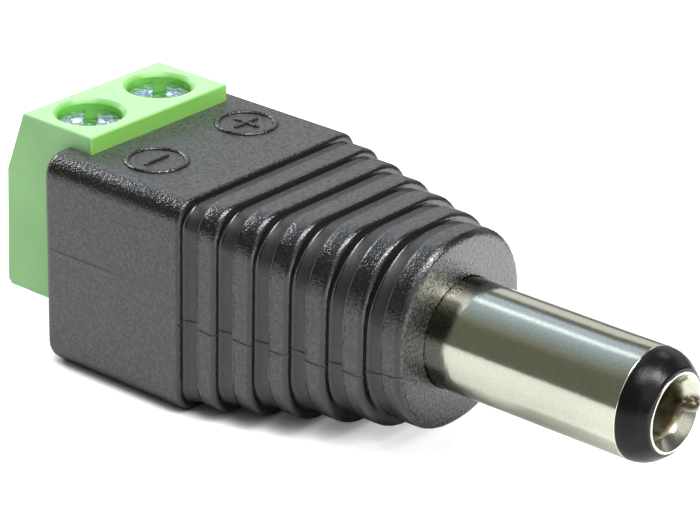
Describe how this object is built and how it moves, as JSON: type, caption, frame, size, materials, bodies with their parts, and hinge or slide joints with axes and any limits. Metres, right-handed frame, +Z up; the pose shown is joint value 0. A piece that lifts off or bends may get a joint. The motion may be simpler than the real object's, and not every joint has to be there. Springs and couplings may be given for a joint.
{
  "type": "dc barrel plug",
  "caption": "Coaxial DC barrel plug on a ribbed tapering moulded body, with a sloped screw terminal for the plus and minus wires at its back.",
  "frame": {"origin": "on the barrel's axis, where the barrel leaves the front face of the moulded body", "axes": "+X along the barrel to its tip, +Z up to the screw heads, +Y to the plus pole"},
  "size_m": [0.0377, 0.0132, 0.012],
  "materials": {
    "black_moulding": "fine satin grain",
    "green_housing": "satin",
    "barrel_plating": "nickel plate",
    "black_insulator": "satin",
    "screw_plating": "bright zinc plate",
    "cage_plating": "plated steel",
    "contact_plating": "tinned brass",
    "lug_brass": "bare brass",
    "washer_board": "phenolic board",
    "solder": "dull solder"
  },
  "bodies": {
    "body": {"moulded_body": "black_moulding", "terminal_housing": "green_housing", "barrel_sleeve": "barrel_plating", "barrel_insulator": "black_insulator", "centre_contact": "barrel_plating", "rear_insulating_washer": "washer_board", "contact_bar_minus": "contact_plating", "contact_bar_plus": "contact_plating", "sleeve_lug": "lug_brass", "centre_lug": "lug_brass", "solder_joint_minus": "solder", "solder_joint_plus": "solder"},
    "screw_minus": {"clamp_screw_minus": "screw_plating"},
    "screw_plus": {"clamp_screw_plus": "screw_plating"},
    "cage_minus": {"clamp_cage_minus": "cage_plating"},
    "cage_plus": {"clamp_cage_plus": "cage_plating"}
  },
  "joints": [
    {"name": "clamp_turn_minus", "type": "hinge", "parent": "body", "child": "screw_minus", "pos_m": [-0.02172, -0.0025, 0.003], "axis": [0, 0, 1], "range_deg": [-1440, 0]},
    {"name": "clamp_turn_plus", "type": "hinge", "parent": "body", "child": "screw_plus", "pos_m": [-0.02172, 0.0025, 0.003], "axis": [0, 0, 1], "range_deg": [-1440, 0]},
    {"name": "cage_lift_minus", "type": "slide", "parent": "body", "child": "cage_minus", "axis": [0, 0, 1], "range_m": [0, 0.0018]},
    {"name": "cage_lift_plus", "type": "slide", "parent": "body", "child": "cage_plus", "axis": [0, 0, 1], "range_m": [0, 0.0018]}
  ],
  "couplings": [
    {"joint": "clamp_turn_minus", "follows": "cage_lift_minus", "rad_per_m": -13962},
    {"joint": "clamp_turn_plus", "follows": "cage_lift_plus", "rad_per_m": -13962}
  ]
}
